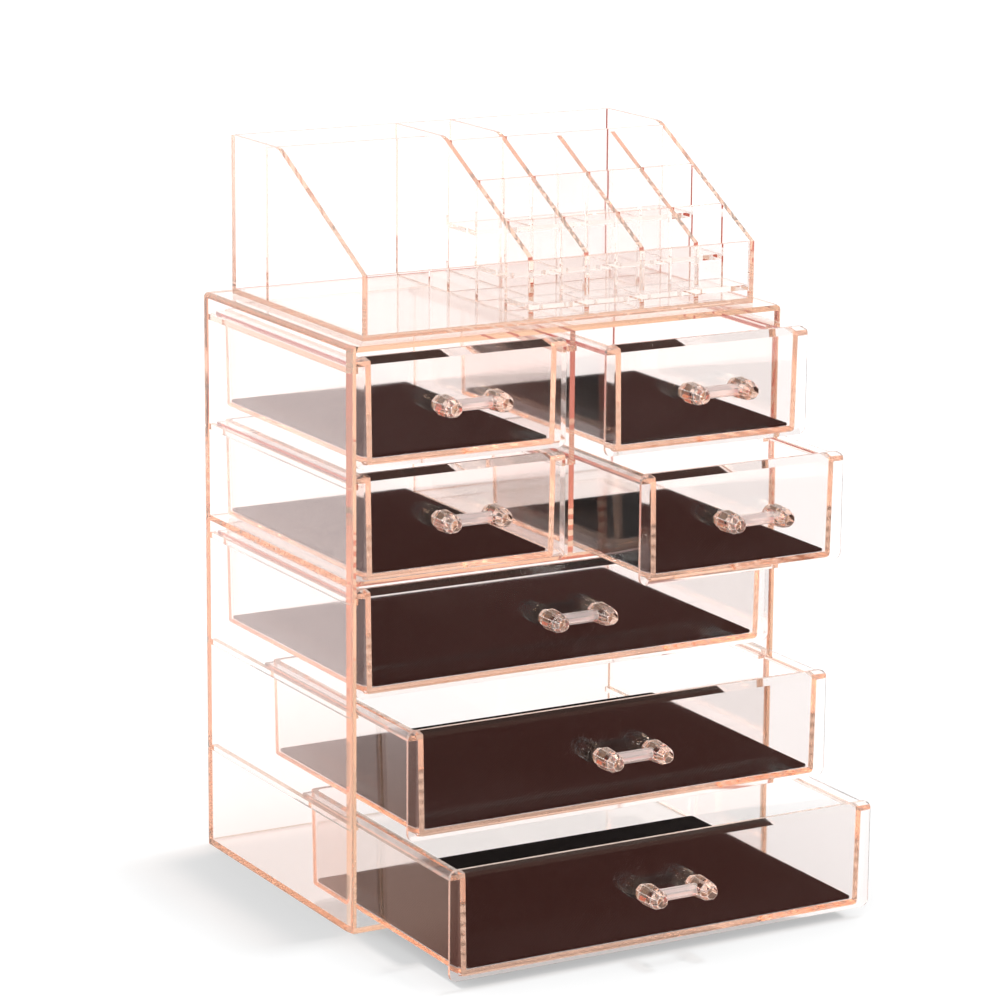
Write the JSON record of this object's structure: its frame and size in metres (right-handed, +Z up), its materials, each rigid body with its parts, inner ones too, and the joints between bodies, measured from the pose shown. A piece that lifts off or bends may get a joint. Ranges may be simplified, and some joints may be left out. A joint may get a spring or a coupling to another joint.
{
  "type": "makeup organizer",
  "caption": "Tall clear organizer with pull-out drawers on rails, faceted handles and a lift-off tray of stepped lipstick slots.",
  "frame": {"origin": "centre of the case's bottom face, on the surface it stands on", "axes": "+Z up, -Y towards the drawers' fronts, +X to the right seen from the front"},
  "size_m": [0.235, 0.2669, 0.3606],
  "materials": {
    "clear_case": "clear polished acrylic",
    "clear_tray": "clear polished acrylic",
    "clear_drawer": "clear moulded acrylic",
    "clear_handle": "clear faceted acrylic",
    "mesh_liner": "open mesh pad"
  },
  "bodies": {
    "case": {"left_side": "clear_case", "right_side": "clear_case", "top_panel": "clear_case", "bottom_panel": "clear_case", "back_panel": "clear_case", "middle_shelf": "clear_case", "centre_divider": "clear_case", "rails_row_1": "clear_case", "rails_row_2": "clear_case", "rails_row_3": "clear_case", "rails_row_4": "clear_case", "rails_row_5": "clear_case"},
    "drawer_1_left": {"drawer_1_left_tub": "clear_drawer", "drawer_1_left_front": "clear_drawer", "drawer_1_left_liner": "mesh_liner", "drawer_1_left_handle": "clear_handle"},
    "drawer_1_right": {"drawer_1_right_tub": "clear_drawer", "drawer_1_right_front": "clear_drawer", "drawer_1_right_liner": "mesh_liner", "drawer_1_right_handle": "clear_handle"},
    "drawer_2_left": {"drawer_2_left_tub": "clear_drawer", "drawer_2_left_front": "clear_drawer", "drawer_2_left_liner": "mesh_liner", "drawer_2_left_handle": "clear_handle"},
    "drawer_2_right": {"drawer_2_right_tub": "clear_drawer", "drawer_2_right_front": "clear_drawer", "drawer_2_right_liner": "mesh_liner", "drawer_2_right_handle": "clear_handle"},
    "drawer_3": {"drawer_3_tub": "clear_drawer", "drawer_3_front": "clear_drawer", "drawer_3_liner": "mesh_liner", "drawer_3_handle": "clear_handle"},
    "drawer_4": {"drawer_4_tub": "clear_drawer", "drawer_4_front": "clear_drawer", "drawer_4_liner": "mesh_liner", "drawer_4_handle": "clear_handle"},
    "drawer_5": {"drawer_5_tub": "clear_drawer", "drawer_5_front": "clear_drawer", "drawer_5_liner": "mesh_liner", "drawer_5_handle": "clear_handle"},
    "tray": {"tray_floor": "clear_tray", "tray_back": "clear_tray", "tray_left": "clear_tray", "tray_right": "clear_tray", "tray_front": "clear_tray", "tray_divider_1": "clear_tray", "tray_divider_2": "clear_tray", "tray_divider_3": "clear_tray", "tray_divider_4": "clear_tray", "tray_left_cross_wall": "clear_tray", "tray_rear_cross_wall": "clear_tray", "tray_middle_cross_wall": "clear_tray", "tray_front_cross_wall": "clear_tray", "tray_step_front": "clear_tray", "tray_step_middle": "clear_tray", "tray_step_rear": "clear_tray"}
  },
  "joints": [
    {"name": "drawer_1_left_slide", "type": "slide", "parent": "case", "child": "drawer_1_left", "axis": [0, -1, 0], "range_m": [0, 0.115]},
    {"name": "drawer_1_right_slide", "type": "slide", "parent": "case", "child": "drawer_1_right", "axis": [0, -1, 0], "range_m": [-0.0285, 0.0865]},
    {"name": "drawer_2_left_slide", "type": "slide", "parent": "case", "child": "drawer_2_left", "axis": [0, -1, 0], "range_m": [0, 0.115]},
    {"name": "drawer_2_right_slide", "type": "slide", "parent": "case", "child": "drawer_2_right", "axis": [0, -1, 0], "range_m": [-0.0615, 0.0535]},
    {"name": "drawer_3_slide", "type": "slide", "parent": "case", "child": "drawer_3", "axis": [0, -1, 0], "range_m": [0, 0.115]},
    {"name": "drawer_4_slide", "type": "slide", "parent": "case", "child": "drawer_4", "axis": [0, -1, 0], "range_m": [-0.052, 0.063]},
    {"name": "drawer_5_slide", "type": "slide", "parent": "case", "child": "drawer_5", "axis": [0, -1, 0], "range_m": [-0.0925, 0.0225]},
    {"name": "tray_lift", "type": "slide", "parent": "case", "child": "tray", "axis": [0, 0, 1], "range_m": [0, 0.1]}
  ]
}
